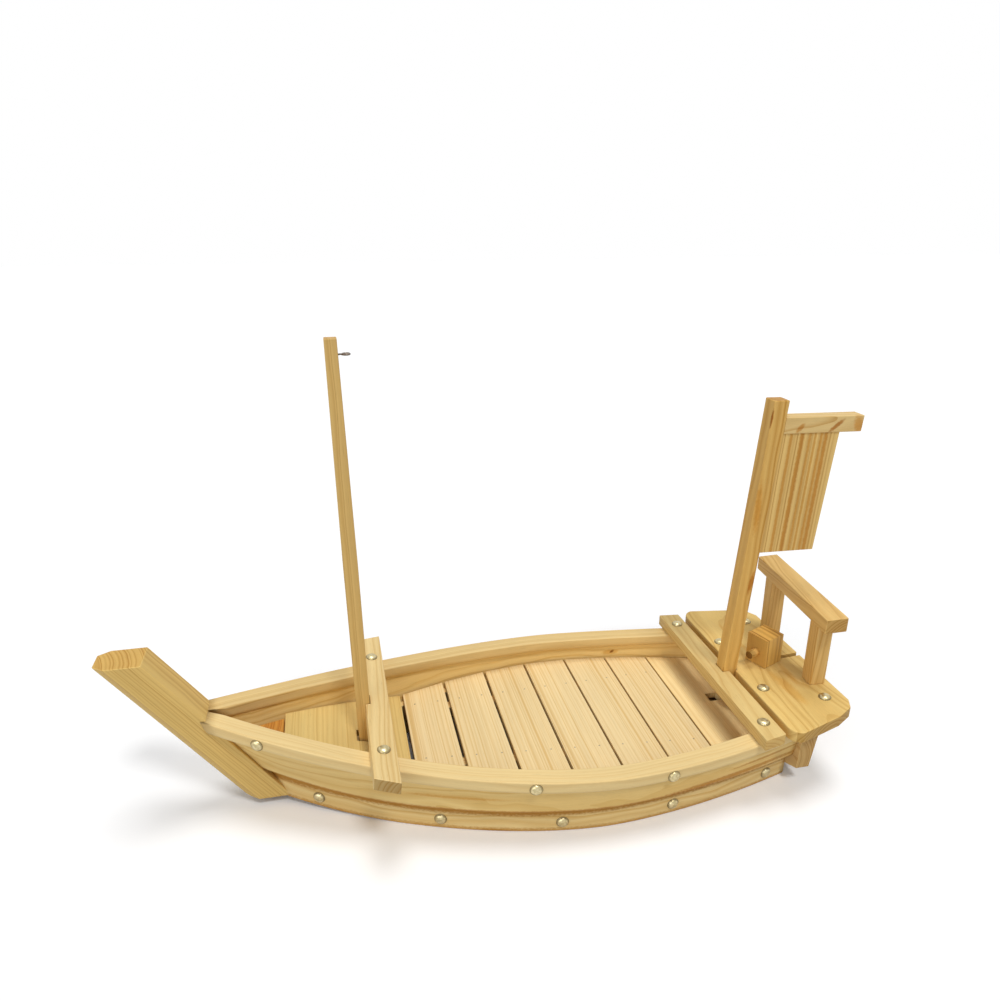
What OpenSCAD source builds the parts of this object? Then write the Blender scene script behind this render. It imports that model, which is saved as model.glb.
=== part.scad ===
// Wooden sushi serving boat, a clinker hull with a slatted deck, mast, flag, stern rail and rudder head.
// Millimetres, +Z up, bow towards -X, port side towards -Y, floor at z = 0.

/* [Hull lines] */
// Place along the boat where the hull is widest
beam_x = 69; // [40:1:100]
// Power of the plan curve, a higher one gives fuller ends
plan_power = 1.75; // [1.6:0.05:2]
// Half breadth at the gunwale's outer edge
gunwale_half = 92; // [85:0.5:100]
// Distance from the widest place to where the gunwale curve would close at the bow
gunwale_fore = 284; // [278:1:290]
// The same distance towards the stern
gunwale_aft = 332; // [325:1:345]
// Height of the gunwale's top at its lowest place
gunwale_z = 49.8; // [47:0.1:54]
// Place along the boat where the gunwale is lowest
sheer_x = 114; // [100:1:125]
// Rise of the gunwale per squared millimetre from its lowest place
sheer_rise = 0.000297; // [0.00025:0.00001:0.00034]
// Place forward of which the bottom and the lap line rise
rise_x = -60; // [-70:1:-50]
// Height of the lap line between the strakes
lap_z = 21.5; // [20:0.1:23]

/* [Planks] */
// Width of the gunwale's flat top
gunwale_w = 13.7; // [12:0.1:16]
// Height of the gunwale's outer face
gunwale_h = 9.5; // [8:0.1:11]
// Depth of the groove that takes the upper strake
groove_h = 5.5; // [4:0.1:6.5]
// Thickness of the upper strake
upper_t = 5.5; // [5:0.1:6]
// Thickness of the lower strake
lower_t = 6; // [5:0.1:7]
// Stations along each plank
stations = 26; // [16:1:40]

/* [Stem and transom] */
// Thickness of the stem across the boat
stem_w = 23.6; // [20:0.1:26]
// Depth of the stem square to its length
stem_d = 24.4; // [20:0.1:27]
// Width of the stem's front face between its bevels
stem_nose_w = 14; // [7:0.5:16]
// Depth of the bevels behind the front face
stem_bevel = 6.1; // [5:0.1:9]
// Rake of the stem from upright
stem_rake = 33.4; // [30:0.1:36]
// Height of the stem's top
stem_top = 124; // [110:1:140]
// Height of the stem's foot above the floor
stem_foot = 6; // [4:0.5:9]
// Radius of the stem's toe
stem_toe_r = 11; // [6:1:14]
// Foremost place of the stem
bow_x = -250; // [-252:1:-248]
// Fore face of the transom
transom_x = 212; // [210:0.5:213]
// Thickness of the transom at its foot
transom_t = 9.5; // [8:0.5:11]
// Thickness of the transom at its top
transom_top_t = 13; // [12:0.5:15]
// Half width of the transom
transom_half = 70; // [66:0.5:71]
// Height of the transom's lower edge
transom_foot = 6; // [3:0.5:8]
// Rise of the transom's lower edge towards its ends
transom_rise = 9; // [6:0.5:12]
// Length of the rising part at each end
transom_rise_l = 22; // [18:0.5:26]

/* [Deck] */
// Height of the slatted deck's top at its middle
deck_z = 30.7; // [30:0.1:32]
// Middle of the slatted deck along the boat
deck_x = 48; // [44:1:52]
// Tilt of the slatted deck, bow end up
deck_tilt = 1; // [0.6:0.1:1.2]
// Thickness of the deck boards
board_t = 5; // [4:0.1:5.5]
// Place of the first gap between deck boards
first_gap_x = -58; // [-60:0.5:-56]
// Distance between the gaps
slat_pitch = 35.4; // [34:0.1:36]
// Width of the foremost gap
gap_fore = 2.4; // [1.6:0.1:3]
// Width of the aftmost gap
gap_aft = 1.2; // [0.8:0.1:1.6]
// Tilt of the foredeck, bow end up
foredeck_tilt = 14; // [13:0.5:15]
// Front edge of the foredeck
foredeck_x = -143; // [-145:0.5:-140]
// Room between deck boards and the hull's inside
deck_room = 0.6; // [0.4:0.1:1]
// Width of the bearers
bearer_w = 8; // [6:0.5:10]
// Height of the bearers
bearer_h = 8; // [7:0.5:9]
// Distance of the port bearer from the centre line at the deck's middle
port_bearer_y = 31.8; // [28:0.1:36]
// Distance of the starboard bearer from the centre line at the deck's middle
starboard_bearer_y = 44.5; // [40:0.1:46]
// Angle of the port bearer, wider apart towards the stern
port_splay = 4.6; // [3:0.1:6]
// Angle of the starboard bearer, wider apart towards the stern
starboard_splay = 2.6; // [1:0.1:4]
// Distance of the bearers' fore ends behind the first gap
bearer_set = 1; // [0.5:0.5:8]
// Distance of the bearers' aft ends ahead of the transom
bearer_aft_set = 24; // [22:1:40]
// Place of the foremost floor frame
frame_x = -124; // [-126:1:-122]
// Distance of the aftmost floor frame ahead of the transom
frame_aft_set = 18.4; // [16:0.1:21]
// Thickness of the floor frames
frame_t = 10; // [8:0.5:12]
// Height of the floor frames' underside above the floor
frame_z = 3; // [1.5:0.5:5]

/* [Thwarts and stern] */
// Width of the thwarts along the boat
thwart_w = 16.2; // [14:0.1:18]
// Thickness of the thwarts and the stern deck
thwart_t = 9; // [8:0.1:10]
// Middle of the fore thwart
fore_thwart_x = -79.6; // [-82:0.1:-78]
// Half length of the fore thwart
fore_thwart_half = 84; // [80:0.5:90]
// Room between the aft thwart and the stern deck, for the flag post
aft_gap = 5; // [4:0.1:8]
// Half length of the aft thwart
aft_thwart_half = 85; // [82:0.5:90]
// Distance of the stern deck's fore edge ahead of the transom
stern_set = 19.4; // [18:0.1:24]
// Length of the stern deck along the boat
stern_deck_l = 56.9; // [50:0.1:64]
// Half breadth of the stern deck at its fore edge
stern_half = 86; // [82:0.5:90]
// Half breadth of the stern deck's aft edge between its clipped corners
stern_aft_half = 61; // [55:0.5:66]
// Width of the saw slot behind the rudder head
slot_w = 3.6; // [2:0.1:4]
// Height of the rail posts
rail_post_h = 51; // [46:0.5:56]
// Middle of each rail post from the centre line
rail_post_y = 34.5; // [32:0.5:38]
// Length of the rail bar
rail_bar_l = 104; // [96:1:112]
// Width of the rail bar
rail_bar_w = 15.6; // [13:0.1:20]
// Thickness of the rail bar
rail_bar_t = 11; // [9:0.5:13]
// Side of the square rail posts
rail_post_w = 11.5; // [9:0.1:13]
// Distance of the rail's middle ahead of the stern deck's aft edge
rail_set = 7.2; // [6:0.1:9]
// Turn of the rail on the stern deck, its port end forward
rail_skew = 4.8; // [0:0.1:6]

/* [Mast and flag] */
// Distance of the mast's middle ahead of the fore thwart's fore edge
mast_set = 0.9; // [0:0.1:2]
// Side of the square mast
mast_w = 9.3; // [8:0.1:9.6]
// Side of the mast at its top
mast_top_w = 7.2; // [6:0.1:9]
// Height of the mast's top
mast_top = 313; // [280:1:330]
// Height of the mast's foot
mast_foot = 22; // [20:0.5:25]
// Height where the mast's taper starts
mast_taper_z = 175; // [150:1:200]
// Distance of the screw eye below the mast's top
eye_drop = 9; // [6:0.5:20]
// Side of the square flag post
flag_post_w = 11; // [9:0.1:12]
// Depth that the flag post is let into the stern deck's fore edge
flag_bite = 0.9; // [0.5:0.1:2]
// Lean of the flag post towards the stern
flag_lean = 1.36; // [0:0.02:2]
// Height of the flag post's top
flag_top = 266; // [250:1:280]
// Length of the ledge under the flag post's foot
ledge_l = 9; // [7:0.5:10]
// Thickness of the ledge
ledge_t = 6; // [5:0.5:8]
// Length of the yard behind the post
yard_l = 58; // [50:0.5:62]
// Height of the yard
yard_h = 11; // [9:0.5:13]
// Distance of the yard's top below the flag post's top
yard_drop = 11.2; // [6:0.1:30]
// Width of the flag panel
panel_w = 42.4; // [36:0.1:46]
// Height of the flag panel
panel_h = 86; // [76:1:92]
// Thickness of the flag panel
panel_t = 4; // [3:0.1:6]
// Room round the mast and the flag post in their notches and steps
lift_room = 0.4; // [0.3:0.05:0.6]
// Side of the square hole in the foredeck
deck_hole_w = 12.4; // [12:0.1:14]
// Side of the square hole in the aft deck board
aft_hole_w = 9.4; // [8:0.1:11]
// Distance of that hole's middle ahead of the flag post
aft_hole_set = 3.3; // [2:0.1:5]
// Place of that hole's middle to starboard
aft_hole_y = 6.3; // [0:0.1:8]

/* [Rudder and fasteners] */
// Distance of the rudder head's middle behind the transom's fore face
rudder_set = 7; // [6:0.1:7.5]
// Side of the rudder head
rudder_w = 18; // [14:0.1:20]
// Height of the rudder head
rudder_h = 24; // [20:0.5:28]
// Turn of the rudder head to port
rudder_turn = 20; // [0:1:30]
// Radius of the pin that the rudder head turns on
rudder_pin_r = 3; // [2.5:0.1:3.5]
// Length of the pin below the stern deck
rudder_pin_l = 16; // [12:0.5:17]
// Radial room of the pin in the deck and the transom
pin_room = 0.05; // [0.03:0.01:0.08]
// Radius of the tiller peg
peg_r = 3; // [2:0.1:3.5]
// Length of the tiller peg in front of the head
peg_out = 8; // [5:0.5:10]
// Radius of the dome nail heads
nail_r = 4.3; // [3:0.1:5]
// Height of the dome nail heads
nail_h = 2.3; // [1.5:0.1:3]
// Radius of the nail shanks
shank_r = 0.9; // [0.7:0.05:1.1]

/* [Hidden] */
$fn = 48;
pine = "#e6c488";
pine_dark = "#d3a763";
pine_end = "#c9995a";
steel = "#cfc6a2";

// Half breadth of a hull line at a place along the boat
function plan(x, half, fore, aft) =
    half*(1 - pow(abs(x - beam_x)/(x < beam_x ? fore : aft), plan_power));
function gunwale_y(x) = plan(x, gunwale_half, gunwale_fore, gunwale_aft);
function upper_top_y(x) = plan(x, gunwale_half - 2.5, gunwale_fore - 13, gunwale_aft - 6);
function upper_low_y(x) = plan(x, gunwale_half - 5.5, gunwale_fore - 39, gunwale_aft - 27);
function lower_y(x) = plan(x, gunwale_half - 11.5, gunwale_fore - 48.5, gunwale_aft - 42);

// Thickness measured across the boat where a line of the plan runs at a slant
function gunwale_across(x) = gunwale_w*norm([1, (gunwale_y(x + 1) - gunwale_y(x - 1))/2]);
function lower_across(x) = lower_t*norm([1, (lower_y(x + 1) - lower_y(x - 1))/2]);

// Heights of the gunwale's top, the lap line and the bottom
function sheer(x) = gunwale_z + sheer_rise*pow(x - sheer_x, 2);
function sheer_angle(x) = atan(2*sheer_rise*(x - sheer_x));
function fore_rise(x) = pow(max(0, rise_x - x), 2);
function lap(x) = lap_z + 0.0009*fore_rise(x);
function bottom(x) = 0.00075*fore_rise(x);
function deck_top(x) = deck_z - (x - deck_x)*tan(deck_tilt);
function lower_top(x) = deck_top(max(x, rise_x)) - board_t - 0.15 + 0.0006*fore_rise(x);

// Inside of the upper strake at a height
function inside_y(x, z) =
    upper_low_y(x) + lean(x)*(z - lap(x)) - upper_t;
function lower_inside_y(x) = lower_y(x) - lower_across(x);

// Roof of the groove under the gunwale, and the upper strake's lean
// Height of a level of the stern deck at a place along the boat
function stern_z(x, level) = sheer(stern_mid_x) + stern_lift + (x - stern_mid_x)*tan(stern_angle)
    + level/cos(stern_angle);

function groove_z(x) = sheer(x) - gunwale_h + groove_h;
function lean(x) = (upper_top_y(x) - upper_low_y(x))/(groove_z(x) - lap(x));

stern_fore_x = transom_x - stern_set;
stern_aft_x = stern_fore_x + stern_deck_l;
aft_thwart_x = stern_fore_x - aft_gap - thwart_w/2;
flag_x = stern_fore_x + flag_bite - flag_post_w/2;
flag_level = sheer(aft_thwart_x) + thwart_t;
rudder_x = transom_x + rudder_set;
mast_x = fore_thwart_x - thwart_w/2 - mast_set;
eye_z = mast_top - eye_drop;
yard_top = flag_top - yard_drop;
yard_end_x = flag_x + (flag_post_w/2 + yard_l)*cos(flag_lean) + (yard_top - flag_level)*sin(flag_lean);
// Shift that brings the middle of the boat's box to the origin
centre_x = -(bow_x + yard_end_x)/2;
frame_pitch = (transom_x - frame_aft_set - frame_x)/4;
foredeck_aft_x = first_gap_x - gap_fore/2;
foredeck_l = (foredeck_aft_x - foredeck_x)/cos(foredeck_tilt);
stern_mid_x = (stern_fore_x + stern_aft_x)/2;
stern_lift = 0.3;
stern_angle = sheer_angle(stern_mid_x);
beam_fore = stern_fore_x - stern_mid_x + 2.4;
beam_w = 11;
beam_low = -10.3;
flag_foot = stern_z(flag_x + flag_post_w/2, beam_low - 0.02) + flag_post_w/2*sin(flag_lean) + 0.03;
stem_slope = tan(stem_rake);
stem_across = stem_d/cos(stem_rake);
stem_aft_x0 = bow_x + stem_across + stem_top*stem_slope;
gunwale_end_x = stern_aft_x - 12;
strake_nail_z = 8;
gunwale_nail_x = [-158, 13, 105];
shank_l = 12;
side_shank_l = 8;
side_room = 0.15;
side_stations = 22;
lower_fore_x = bow_x + 86;
upper_fore_x = bow_x + 54;
gunwale_fore_x = bow_x + 50;

upper_x = steps(upper_fore_x, transom_x - 0.1);

// Closed skin through a list of rings, each with the same number of points
module skin(rings) {
    n = len(rings[0]);
    last = len(rings) - 1;
    sides = [for (i = [0:last - 1]) for (j = [0:n - 1]) let(a = i*n, b = a + n, k = (j + 1)%n)
        each [[a + j, a + k, b + k], [a + j, b + k, b + j]]];
    start = [for (j = [n - 1:-1:0]) j];
    end = [for (j = [0:n - 1]) last*n + j];
    polyhedron([for (r = rings) each r], concat([start], sides, [end]));
}

function steps(a, b, n = stations) = [for (i = [0:n]) a + (b - a)*i/n];
function backwards(list) = [for (i = [len(list) - 1:-1:0]) list[i]];

// Upright plank between two lines seen from above, cut to two lines seen from the side
module plank(outer, inner, low, high) {
    intersection() {
        translate([0, 0, -10]) linear_extrude(200) polygon(concat(outer, backwards(inner)));
        rotate([90, 0, 0]) linear_extrude(300, center = true) polygon(concat(low, backwards(high)));
    }
}

// Port planks lie towards -Y, starboard ones are their mirror image
module sided(port) {
    mirror([0, port ? 1 : 0, 0]) intersection() {
        children();
        translate([-300, side_room, -10]) cube([600, 200, 200]);
    }
}

// Frame of reference on the gunwale's top, tilted with it
module on_sheer(x) {
    translate([x, 0, sheer(x)]) rotate([0, -sheer_angle(x), 0]) children();
}

module on_deck() {
    translate([deck_x, 0, deck_z]) rotate([0, deck_tilt, 0]) children();
}

module on_foredeck() {
    translate([foredeck_aft_x, 0, deck_top(foredeck_aft_x)]) rotate([0, foredeck_tilt, 0]) children();
}

module on_stern() {
    translate([stern_mid_x, 0, sheer(stern_mid_x) + stern_lift]) rotate([0, -stern_angle, 0]) children();
}

// Dome nail standing on z = 0, its shank below
module dome_nail(length = shank_l) {
    ball_r = (nail_r*nail_r + nail_h*nail_h)/(2*nail_h);
    intersection() {
        translate([0, 0, nail_h - ball_r]) sphere(ball_r);
        cylinder(r = nail_r + 1, h = nail_h + 1);
    }
    translate([0, 0, -length]) cylinder(r = shank_r, h = length + 0.2);
}

module nail_hole(length = shank_l) {
    translate([0, 0, -length]) cylinder(r = shank_r, h = length + 2);
}

// Places of the nails in the planks, looking straight in from the side
module at_gunwale_nails() {
    for (x = gunwale_nail_x) {
        turn = atan((gunwale_y(x + 1) - gunwale_y(x - 1))/2);
        translate([x, gunwale_y(x), sheer(x) - gunwale_h*0.52])
            rotate([0, 0, turn]) rotate([-90, 0, 0]) children();
    }
}

module at_strake_nails() {
    for (i = [0:4]) {
        x = frame_x + i*frame_pitch;
        turn = atan((lower_y(x + 1) - lower_y(x - 1))/2);
        translate([x, lower_y(x), strake_nail_z + bottom(x)])
            rotate([0, 0, turn]) rotate([-90, 0, 0]) children();
    }
}

// Stem
module stem_post() {
    aft_foot_x = stem_aft_x0 - stem_foot*stem_slope;
    toe_x = aft_foot_x - stem_across;
    color(pine_dark) intersection() {
        translate([stem_aft_x0, 0, 0]) rotate([0, -stem_rake, 0]) translate([0, 0, -40])
            linear_extrude(240) polygon([
                [0, -stem_w/2], [0, stem_w/2], [stem_bevel - stem_d, stem_w/2], [-stem_d, stem_nose_w/2],
                [-stem_d, -stem_nose_w/2], [stem_bevel - stem_d, -stem_w/2]]);
        rotate([90, 0, 0]) linear_extrude(60, center = true) stem_outline(aft_foot_x, toe_x);
    }
}

module stem_outline(aft_foot_x, toe_x) {
    centre = [toe_x + stem_toe_r*tan(45 - stem_rake/2), stem_foot + stem_toe_r];
    polygon(concat(
        [[aft_foot_x + 40, stem_foot], [aft_foot_x + 40, stem_top], [bow_x - 40, stem_top]],
        [for (a = [180 + stem_rake:5:270]) centre + stem_toe_r*[cos(a), sin(a)]]));
}

// Wedge that fills the bow between the strakes ahead of the foredeck
module bow_block() {
    aft_x = foredeck_x - 1;
    base_z = lap(aft_x) + 6;
    room = 0.5;
    fore_x = stem_aft_x0 - base_z*stem_slope + room;
    color(pine_end) intersection() {
        translate([0, 0, base_z]) linear_extrude(60) polygon([
            [aft_x, -inside_y(aft_x, base_z) + room], [aft_x, inside_y(aft_x, base_z) - room],
            [fore_x, inside_y(fore_x, base_z) - room], [fore_x, -inside_y(fore_x, base_z) + room]]);
        on_foredeck() translate([-200, -100, -101]) cube([200, 200, 100]);
    }
}

// Transom, its shoulders cut down for the gunwales
module transom() {
    top_z = sheer(transom_x) - 0.1;
    inner = transom_half - transom_rise_l;
    end_z = transom_foot + transom_rise;
    color(pine) difference() {
        intersection() {
            rotate([90, 0, 0]) linear_extrude(2*transom_half, center = true) polygon([
                [transom_x, transom_foot], [transom_x + transom_t, transom_foot],
                [transom_x + transom_top_t, top_z], [transom_x, top_z]]);
            translate([transom_x - 1, 0, 0]) rotate([90, 0, 90]) linear_extrude(40) polygon([
                [-transom_half, end_z], [-inner, transom_foot], [inner, transom_foot],
                [transom_half, end_z], [transom_half, top_z], [-transom_half, top_z]]);
        }
        both_sides() translate([transom_x - 1, 53.5, sheer(transom_x) - gunwale_h - 0.4])
            cube([40, 40, 40]);
        rudder_bore();
    }
}

module rudder_bore() {
    at_rudder() translate([0, 0, -rudder_pin_l - 1]) cylinder(r = rudder_pin_r + pin_room, h = 60);
}

module at_rudder() {
    on_stern() translate([rudder_x - stern_mid_x, 0, 0]) children();
}

// Beam under the fore part of the stern deck, between the gunwales
module stern_beam() {
    color(pine) difference() {
        on_stern() translate([beam_fore, -53, beam_low]) cube([beam_w, 106, 10]);
        both_sides() stern_nail_places() nail_hole();
    }
}

// Planks
module lower_strake(port) {
    xs = steps(lower_fore_x, transom_x - 0.1);
    rows = steps(lower_fore_x - 3, transom_x + 3, side_stations);
    color(pine) mirror([0, port ? 1 : 0, 0]) difference() {
        plank([for (x = xs) [x, max(2*side_room, lower_y(x))]],
            [for (x = xs) [x, max(side_room, lower_y(x) - lower_across(x))]],
            [for (x = rows) [x, bottom(x)]], [for (x = rows) [x, lower_top(x)]]);
        stem_post();
        at_strake_nails() nail_hole();
    }
}

module upper_strake(port) {
    rings = [for (x = upper_x)
        let(y = upper_top_y(x), low_y = upper_low_y(x), low = lap(x), high = groove_z(x) - 0.1)
        [[x, low_y, low], [x, y, high], [x, y - upper_t, high], [x, low_y - upper_t, low]]];
    color(pine_dark) sided(port) difference() {
        skin(rings);
        stem_post();
        at_gunwale_nails() nail_hole(side_shank_l);
    }
}

module gunwale(port) {
    xs = steps(gunwale_fore_x, gunwale_end_x);
    rows = steps(gunwale_fore_x - 4, gunwale_end_x + 4, side_stations);
    groove_x = concat([gunwale_fore_x - 4], upper_x, [transom_x]);
    color(pine) mirror([0, port ? 1 : 0, 0]) difference() {
        plank([for (x = xs) [x, gunwale_y(x)]],
            [for (x = xs) [x, max(side_room, gunwale_y(x) - gunwale_across(x))]],
            [for (x = rows) [x, sheer(x) - gunwale_h]], [for (x = rows) [x, sheer(x)]]);
        plank([for (x = groove_x) [x, upper_top_y(x) + 0.08]],
            [for (x = groove_x) [x, upper_top_y(x) - upper_t - lean(x)*groove_h - 0.08]],
            [for (x = rows) [x, sheer(x) - gunwale_h - 2]], [for (x = rows) [x, groove_z(x)]]);
        stem_post();
        at_gunwale_nails() nail_hole(side_shank_l);
        thwart_nail_places() nail_hole();
        stern_nail_places() nail_hole();
    }
}

// Frames across the bottom, each nailed through the lower strakes
module floor_frame(i) {
    x = frame_x + (i - 1)*frame_pitch;
    fore = x - frame_t/2;
    aft = x + frame_t/2;
    top = i == 1 ? lap(x) + 4 : deck_top(aft) - board_t - bearer_h - 0.2;
    low = frame_z + bottom(x);
    room = 0.2;
    color(pine_dark) difference() {
        translate([0, 0, low]) linear_extrude(top - low) polygon([
            [fore, -lower_inside_y(fore) + room], [aft, -lower_inside_y(aft) + room],
            [aft, lower_inside_y(aft) - room], [fore, lower_inside_y(fore) - room]]);
        both_sides() at_strake_nails() nail_hole();
    }
}

// Bearers under the slats
module bearer(port) {
    fore = first_gap_x + bearer_set - deck_x;
    aft = transom_x - bearer_aft_set - deck_x;
    color(pine) difference() {
        along_bearer(port) translate([fore, -bearer_w/2, -board_t - bearer_h])
            cube([aft - fore, bearer_w, bearer_h]);
        brad_places(port) brad_hole();
    }
}

module along_bearer(port) {
    on_deck() mirror([0, port ? 1 : 0, 0])
        translate([0, port ? port_bearer_y : starboard_bearer_y, 0])
            rotate([0, 0, port ? port_splay : starboard_splay]) children();
}

// Deck boards
module deck_board(fore, aft) {
    low = board_t + 0.1;
    function half(x) = inside_y(x, deck_top(x) - low) - deck_room;
    on_deck() translate([-deck_x, 0, -board_t]) linear_extrude(board_t) polygon([
        [fore, -half(fore)], [aft, -half(aft)], [aft, half(aft)], [fore, half(fore)]]);
}

function gap_w(i) = gap_fore + (gap_aft - gap_fore)*(i - 1)/6;
function gap_x(i) = first_gap_x + (i - 1)*slat_pitch;

module deck_slat(i) {
    color(pine) difference() {
        deck_board(gap_x(i) + gap_w(i)/2, gap_x(i + 1) - gap_w(i + 1)/2);
        for (port = [true, false]) brad_places(port) brad_hole();
    }
}

module aft_deck_board() {
    color(pine) difference() {
        deck_board(gap_x(7) + gap_w(7)/2, transom_x - 0.4);
        translate([flag_x - aft_hole_set, aft_hole_y, 0])
            cube([aft_hole_w, aft_hole_w, 200], center = true);
    }
}

module foredeck_panel() {
    low = board_t + 0.3;
    function height(x) = deck_top(foredeck_aft_x) + (foredeck_aft_x - x)*tan(foredeck_tilt) - low;
    function half(x) = inside_y(x, height(x)) - deck_room;
    function place(t) = foredeck_aft_x + (foredeck_x - foredeck_aft_x)*t;
    side = [for (t = [0:0.25:1]) [-t*foredeck_l, half(place(t))]];
    color(pine) difference() {
        on_foredeck() translate([0, 0, -board_t]) linear_extrude(board_t)
            polygon(concat(side, [for (i = [4:-1:0]) [side[i].x, -side[i].y]]));
        translate([mast_x, 0, 0]) cube([deck_hole_w, deck_hole_w, 200], center = true);
    }
}

// Steps under the deck that take the feet of the mast and the flag post
module mast_step() {
    color(pine_end) difference() {
        on_foredeck() translate([(mast_x - foredeck_aft_x)/cos(foredeck_tilt) - 14, -14, -board_t - 17.2])
            cube([26, 28, 17]);
        mast_space();
    }
}

// Ledge under the stern beam that the flag post stands on
module flag_step() {
    color(pine_end) on_stern() translate([beam_fore - ledge_l, -13, beam_low - 0.02 - ledge_t])
        cube([ledge_l + beam_w, 26, ledge_t]);
}

module mast_space() {
    side = mast_w + 2*lift_room;
    translate([mast_x - side/2, -side/2, mast_foot - 0.05]) cube([side, side, 120]);
}

// Frame of reference of the flag, leaning at the level of the deck
module at_flag() {
    translate([flag_x, 0, flag_level]) rotate([0, flag_lean, 0]) translate([0, 0, -flag_level]) children();
}

module flag_space() {
    side = flag_post_w + 2*lift_room;
    at_flag() translate([-side/2, -side/2, flag_foot - 0.05]) cube([side, side, 120]);
}

// Thwart with ends cut along the gunwale's line
module thwart(x, half, skew) {
    w = thwart_w/2;
    on_sheer(x) translate([0, 0, 0.06]) linear_extrude(thwart_t) polygon([
        [-w, -half + skew], [w, -half - skew], [w, half + skew], [-w, half - skew]]);
}

module thwart_nail_places() {
    on_sheer(fore_thwart_x) translate([0, 55, thwart_t + 0.06]) children();
    on_sheer(aft_thwart_x) translate([0, 68.5, thwart_t + 0.06]) children();
}

module both_sides() {
    children();
    mirror([0, 1, 0]) children();
}

module fore_thwart() {
    color(pine) difference() {
        thwart(fore_thwart_x, fore_thwart_half, 2.8);
        mast_space();
        translate([mast_x - 20, -mast_w/2 - lift_room, 0]) cube([20, mast_w + 2*lift_room, 120]);
        both_sides() thwart_nail_places() nail_hole();
    }
}

module aft_thwart() {
    color(pine) difference() {
        thwart(aft_thwart_x, aft_thwart_half, -1.5);
        flag_space();
        translate([flag_x, -flag_post_w/2 - lift_room, 0]) cube([20, flag_post_w + 2*lift_room, 120]);
        both_sides() thwart_nail_places() nail_hole();
    }
}

// Stern deck with rounded fore corners, clipped aft corners and the rudder's slot
module stern_deck() {
    fore = stern_fore_x - stern_mid_x;
    aft = stern_aft_x - stern_mid_x;
    corner_r = 9;
    side = concat(
        [for (a = [180:-10:100])
            [fore + corner_r + corner_r*cos(a), stern_half - corner_r + corner_r*sin(a)]],
        [[fore + 40, stern_half - 9], [aft - 4, stern_aft_half + 9], [aft, stern_aft_half + 1],
         [aft, slot_w/2], [rudder_x - stern_mid_x + 4, slot_w/2]]);
    n = len(side);
    color(pine) difference() {
        on_stern() linear_extrude(thwart_t)
            polygon(concat(side, [for (i = [n - 1:-1:0]) [side[i].x, -side[i].y]]));
        rudder_bore();
        flag_space();
        both_sides() stern_nail_places() nail_hole();
    }
}

module stern_nail_places() {
    on_stern() translate([stern_fore_x - stern_mid_x + 7.6, 33, thwart_t]) children();
    on_stern() translate([stern_aft_x - stern_mid_x - 14.3, 55, thwart_t]) children();
}

// Rail across the stern
module at_rail() {
    on_stern() translate([stern_aft_x - stern_mid_x - rail_set, 0, thwart_t]) rotate([0, 0, -rail_skew])
        children();
}

module rail_post(port) {
    s = port ? -1 : 1;
    color(pine_dark) at_rail()
        translate([-rail_post_w/2, s*rail_post_y - rail_post_w/2, 0.02])
            cube([rail_post_w, rail_post_w, rail_post_h]);
}

module rail_bar() {
    color(pine) at_rail() translate([-rail_bar_w/2, -rail_bar_l/2, rail_post_h + 0.04])
        cube([rail_bar_w, rail_bar_l, rail_bar_t]);
}

// Mast
module mast() {
    color(pine_dark) difference() {
        union() {
            translate([mast_x - mast_w/2, -mast_w/2, mast_foot])
                cube([mast_w, mast_w, mast_taper_z - mast_foot]);
            translate([mast_x, 0, mast_taper_z])
                linear_extrude(mast_top - mast_taper_z, scale = mast_top_w/mast_w)
                    square(mast_w, center = true);
        }
        translate([mast_x, 0, eye_z]) rotate([0, 90, 0]) cylinder(r = 0.7, h = 20);
    }
}

module mast_screw_eye() {
    ring_r = 2.1;
    wire_r = 0.7;
    ring_x = mast_x + 8.6;
    color(steel) union() {
        translate([mast_x, 0, eye_z]) rotate([0, 90, 0]) cylinder(r = wire_r, h = ring_x - ring_r - mast_x);
        translate([ring_x, 0, eye_z]) rotate([90, 0, 0])
            rotate_extrude() translate([ring_r, 0]) circle(wire_r);
    }
}

// Flag
module flag_post() {
    color(pine_dark) at_flag() translate([-flag_post_w/2, -flag_post_w/2, flag_foot])
        cube([flag_post_w, flag_post_w, flag_top - flag_foot]);
}

module flag_yard() {
    color(pine) at_flag() translate([flag_post_w/2 + 0.02, -flag_post_w/2, yard_top - yard_h])
        cube([yard_l, flag_post_w, yard_h]);
}

module flag_panel() {
    low = yard_top - yard_h - panel_h - 0.02;
    color(pine) at_flag() translate([flag_post_w/2 + 0.02, 1 - flag_post_w/2, low])
        cube([panel_w, panel_t, panel_h]);
}

// Rudder head with its tiller peg, turning on a pin through the stern deck into the transom
module rudder_head() {
    color(pine_dark) difference() {
        at_rudder() rotate([0, 0, rudder_turn]) translate([-rudder_w/2, -rudder_w/2, thwart_t + 0.25])
            cube([rudder_w, rudder_w, rudder_h]);
        at_rudder() translate([0, 0, thwart_t]) cylinder(r = rudder_pin_r, h = 14);
        at_rudder() rotate([0, 0, rudder_turn]) translate([0, 0, thwart_t + rudder_h*0.46])
            rotate([0, -90, 0]) cylinder(r = peg_r, h = 20);
    }
}

module tiller_peg() {
    color(pine) at_rudder() rotate([0, 0, rudder_turn])
        translate([-rudder_pin_r - 0.6, 0, thwart_t + rudder_h*0.46])
            rotate([0, -90, 0]) cylinder(r = peg_r, h = rudder_w/2 - rudder_pin_r - 0.6 + peg_out);
}

module rudder_pin() {
    color(pine_end) at_rudder() translate([0, 0, -rudder_pin_l])
        cylinder(r = rudder_pin_r, h = rudder_pin_l + thwart_t + 6.5);
}

// Fasteners
module gunwale_nails() {
    color(steel) both_sides() at_gunwale_nails() dome_nail(side_shank_l);
}

module strake_nails() {
    color(steel) both_sides() at_strake_nails() dome_nail();
}

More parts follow.
